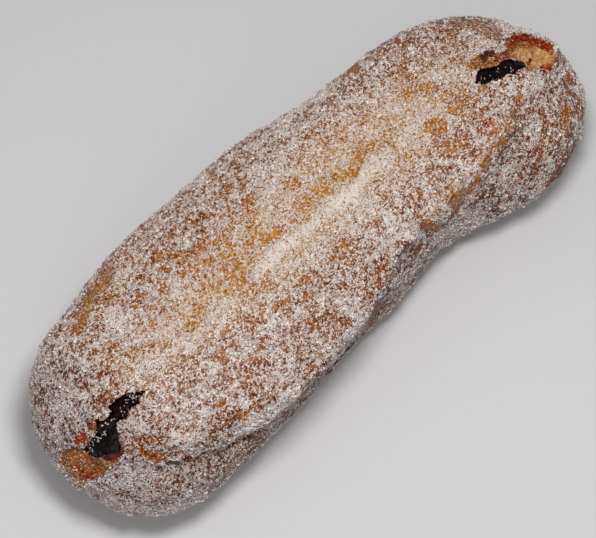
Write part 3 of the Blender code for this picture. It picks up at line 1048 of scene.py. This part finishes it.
def attribute_node(tree, name):
    attribute = tree.nodes.new("ShaderNodeAttribute")
    attribute.attribute_name = name
    return attribute.outputs["Fac"]


def on_object(tree, kind, size):
    """A texture of a kind laid in the object's own coordinates, at the given size."""
    texture = tree.nodes.new(kind)
    texture.inputs["Scale"].default_value = 1 / size
    coordinates = tree.nodes.new("ShaderNodeTexCoord")
    tree.links.new(coordinates.outputs["Object"], texture.inputs["Vector"])
    return texture


def spread(tree, value, low, high):
    """A node that runs from 0 where a value is low to 1 where it is high."""
    mapped = tree.nodes.new("ShaderNodeMapRange")
    mapped.inputs["From Min"].default_value = low
    mapped.inputs["From Max"].default_value = high
    tree.links.new(value, mapped.inputs["Value"])
    return mapped.outputs["Result"]


def noise_node(tree, size, detail, low, high):
    """Noise with lumps of the given size, spread from 0 at low to 1 at high."""
    texture = on_object(tree, "ShaderNodeTexNoise", size)
    texture.inputs["Detail"].default_value = detail
    return spread(tree, texture.outputs["Fac"], low, high)


def mix(tree, share, first, second, kind="RGBA"):
    """A node that mixes two colours or plain values, each a colour or another node's output."""
    mixed = tree.nodes.new("ShaderNodeMix")
    mixed.data_type = kind
    *places, result = MIX_SOCKETS[kind]
    for place, value in zip(places, (first, second)):
        if isinstance(value, tuple):
            mixed.inputs[place].default_value = (*value, 1)
        else:
            tree.links.new(value, mixed.inputs[place])
    tree.links.new(share, mixed.inputs[0])
    return mixed.outputs[result]


def calculated(tree, operation, *values):
    """A node that calculates with numbers and other nodes' outputs."""
    result = tree.nodes.new("ShaderNodeMath")
    result.operation = operation
    for socket, value in zip(result.inputs, values):
        if isinstance(value, (int, float)):
            socket.default_value = value
        else:
            tree.links.new(value, socket)
    return result.outputs[0]


def multiply_add(tree, value, factor, added):
    return calculated(tree, "MULTIPLY_ADD", value, factor, added)


def ragged(tree, name):
    """A share stored on the mesh, with its edge broken up by noise."""
    torn = multiply_add(tree, noise_node(tree, *EDGE_GRAIN), EDGE_BY_GRAIN, attribute_node(tree, name))
    return spread(tree, torn, *EDGE_SHOWS)


def by_side(tree, colours):
    """A ramp through three colours, from the crown over the flanks to the walls, whose colour is partly
    painted shade.
    """
    ramp = tree.nodes.new("ShaderNodeValToRGB")
    ramp.color_ramp.elements.new(ACROSS_BUN[1])
    for element, place, colour in zip(ramp.color_ramp.elements, ACROSS_BUN, colours):
        element.position = place
        element.color = (*colour, 1)
    tree.links.new(attribute_node(tree, "side"), ramp.inputs["Fac"])
    return ramp.outputs["Color"]


def bump(tree, shader, height, strength, distance):
    """Raises fine bumps on the shader's surface by another node's output."""
    bumps = tree.nodes.new("ShaderNodeBump")
    bumps.inputs["Strength"].default_value = strength
    bumps.inputs["Distance"].default_value = distance
    tree.links.new(height, bumps.inputs["Height"])
    tree.links.new(bumps.outputs["Normal"], shader.inputs["Normal"])


def grain_bed(tree):
    """The sugar pressed into the crust, a crystal to a cell: its share, its tint and its gap's painted shade.
    """
    cells = on_object(tree, "ShaderNodeTexVoronoi", BED_PITCH)
    drawn = tree.nodes.new("ShaderNodeSeparateColor")
    tree.links.new(cells.outputs["Color"], drawn.inputs["Color"])
    by_distance = multiply_add(tree, cells.outputs["Distance"], BED_BY_DISTANCE, 0)
    by_crystal = multiply_add(tree, drawn.outputs["Red"], BED_BY_CRYSTAL, by_distance)
    level = multiply_add(tree, attribute_node(tree, "cover"), BED_BY_COVER, by_crystal)
    by_chance = multiply_add(tree, drawn.outputs["Green"], TINT_BY_CHANCE, TINT_ADDED)
    tint = multiply_add(tree, attribute_node(tree, "cover"), TINT_BY_COVER, by_chance)
    gap_shade = multiply_add(tree, drawn.outputs["Blue"], GAP_SHADE_BY_CRYSTAL, GAP_SHADE_ADDED)
    return spread(tree, level, *BED_SHOWS), tint, gap_shade


def crust_material():
    """Fried crust: golden top, brown sides partly painted shade, sugar with painted shade between grains,
    bare crumb, red and dark stains.
    """
    finish, tree, shader = new_finish("fried_crust")
    bed, tint, gap_shade = grain_bed(tree)
    deep_and_gap_shade, dark, light = (by_side(tree, colours) for colours in (CRUST_DEEP_AND_GAP_SHADE, CRUST_DARK, CRUST_LIGHT))
    # The crust between the grains darkens cell by cell toward its deep colour: painted shade in the gaps
    crust = mix(tree, gap_shade, mix(tree, noise_node(tree, *CRUST_MOTTLING), dark, light), deep_and_gap_shade)
    dull, bright = (by_side(tree, colours) for colours in (BED_DULL, BED_BRIGHT))
    sugared = mix(tree, bed, crust, mix(tree, tint, dull, bright))

    crumb_noise = noise_node(tree, *CRUMB_MOTTLING)
    toasted, beige = (mix(tree, crumb_noise, *colours) for colours in (TOASTED, BEIGE))
    bare = ragged(tree, "crumb")
    torn = mix(tree, bare, sugared, mix(tree, attribute_node(tree, "pale"), toasted, beige))

    stain_noise = noise_node(tree, *STAIN_MOTTLING)
    stained = mix(tree, ragged(tree, "stain"), torn, mix(tree, stain_noise, *RED))
    soaked = mix(tree, ragged(tree, "soaked"), stained, mix(tree, stain_noise, *SOAKED_DARK))
    tree.links.new(soaked, shader.inputs["Base Color"])

    unsugared = calculated(tree, "MAXIMUM", bare, attribute_node(tree, "stain"))
    bump(tree, shader, mix(tree, unsugared, bed, crumb_noise, "FLOAT"), *CRUST_BUMP)
    return finish


def jam_material():
    """Nearly black jam with a wet gloss, broken by small lumps."""
    finish, tree, shader = new_finish("jam")
    tree.links.new(mix(tree, noise_node(tree, *JAM_MOTTLING), *JAM_COLOURS), shader.inputs["Base Color"])
    bump(tree, shader, noise_node(tree, *JAM_GRAIN), *JAM_BUMP)
    return finish


def sugar_material():
    """Clear to white crystals, some amber with the crust behind them, and duller on the bun's sides as
    painted shade.
    """
    finish, tree, shader = new_finish("sugar")
    amber, white = (by_side(tree, colours) for colours in (GRAIN_AMBER, GRAIN_WHITE))
    tree.links.new(mix(tree, attribute_node(tree, "tint"), amber, white), shader.inputs["Base Color"])
    return finish


def crumb_material():
    """Bits of the bare dough, from toasted to pale."""
    finish, tree, shader = new_finish("crumb")
    speckle = noise_node(tree, *SPECKLE)
    toasted, beige = (mix(tree, speckle, *colours) for colours in (TOASTED, BEIGE))
    tree.links.new(mix(tree, attribute_node(tree, "tint"), toasted, beige), shader.inputs["Base Color"])
    return finish


def finish_with(thing, finish):
    """Gives a whole piece one material, and smooth shading."""
    mesh = thing.data
    mesh.materials.clear()
    mesh.materials.append(finish)
    mesh.polygons.foreach_set("material_index", np.zeros(len(mesh.polygons), np.int32))
    mesh.shade_smooth()


def plain_floor():
    bm = bmesh.new()
    bmesh.ops.create_grid(bm, x_segments=1, y_segments=1, size=FLOOR_REACH)
    floor = object_from("floor", bm)
    finish, _, shader = new_finish("floor")
    shader.inputs["Base Color"].default_value = FLOOR_COLOUR
    floor.data.materials.append(finish)


def area_light(name, place, size, power):
    lamp = bpy.data.lights.new(name, "AREA")
    lamp.shape = "DISK"
    lamp.size = size
    lamp.energy = power
    thing = new_object(name, lamp)
    thing.location = place
    thing.rotation_euler = (LAMPS_AIM - Vector(place)).to_track_quat("-Z", "Y").to_euler()


def camera():
    lens = bpy.data.cameras.new("camera")
    lens.sensor_width = SENSOR_WIDTH
    lens.lens = SENSOR_WIDTH * FOCAL_PIXELS / PHOTO_WIDTH
    lens.shift_x = (PHOTO_WIDTH / 2 - TARGET_PIXEL[0]) / PHOTO_WIDTH
    lens.shift_y = (TARGET_PIXEL[1] - PHOTO_HEIGHT / 2) / PHOTO_WIDTH
    lens.clip_start = CLIP_START
    thing = new_object("camera", lens)
    turn = Matrix((CAMERA_RIGHT, CAMERA_UP, TO_CAMERA)).transposed().to_4x4()
    thing.matrix_world = Matrix.Translation(EYE) @ turn
    bpy.context.scene.camera = thing


def studio():
    plain_floor()
    for lamp in LAMPS:
        area_light(*lamp)
    world = bpy.data.worlds.new("studio")
    bpy.context.scene.world = world
    world.use_nodes = True
    sky = world.node_tree.nodes["Background"]
    sky.inputs["Color"].default_value = WHITE
    sky.inputs["Strength"].default_value = SKY_STRENGTH
    bpy.context.scene.view_settings.view_transform = "Standard"


def main():
    studio()
    camera()
    dough = skin()
    below = sunken_copy(dough, JAM_SINKS)
    rings = build_dough(dough)
    jam = build_jam(below, rings)
    remove(below)

    points, normals = mesh_points(dough.data), mesh_normals(dough.data)
    outer = numbers_of(dough.data.attributes["outer"].data, "value", 1)[:, 0]
    inside = into_crumb(points, normals)
    side = side_share(points, normals)
    cover = sugar_cover(points, normals, side)
    pale, stain, soaked = (stroke_share(points, normals, strokes) for strokes in (PALE, STAINED, SOAKED))
    shares = {"cover": cover, "side": side, "pale": pale, "stain": stain, "soaked": soaked}
    shares["crumb"] = np.maximum(between(inside, *CRUMB_SHOWS), 1 - outer)
    for name, values in shares.items():
        store(dough.data, name, values)
    finish_with(dough, crust_material())
    finish_with(jam, jam_material())
    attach(dough, "root")
    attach(jam, "root")
    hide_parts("dough")
    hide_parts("jam")

    rng = np.random.default_rng(CRUMB_SEED)
    weight = between(inside, *CRUMBS_LIE_INSIDE) * (1 - stain)
    lying = on_surface(dough.data, weight, np.stack([pale, side], 1), CRUMB_COUNT, rng)
    loose = [(scattered("crumbs", lying, crumb_shape(), CRUMB_SIZES, rng), crumb_material())]
    weight = grain_weight(points, normals, cover, outer)
    sugar = sugar_material()
    for seed, (name, crystal, count, sizes) in enumerate(SUGAR_KINDS):
        rng = np.random.default_rng(seed)
        lying = clinging(dough.data, weight, np.stack([cover, side], 1), count, rng)
        if name == FALLEN_AND_HIGHLIGHT_KIND:
            lying = [np.concatenate(pair) for pair in zip(lying, fallen_and_highlight_on_jam(jam, dough, rng))]
        loose.append((scattered(name, lying, CRYSTALS[crystal], sizes, rng), sugar))
    for grains, finish in loose:
        grains.data.materials.append(finish)
        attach(grains, "root")


main()
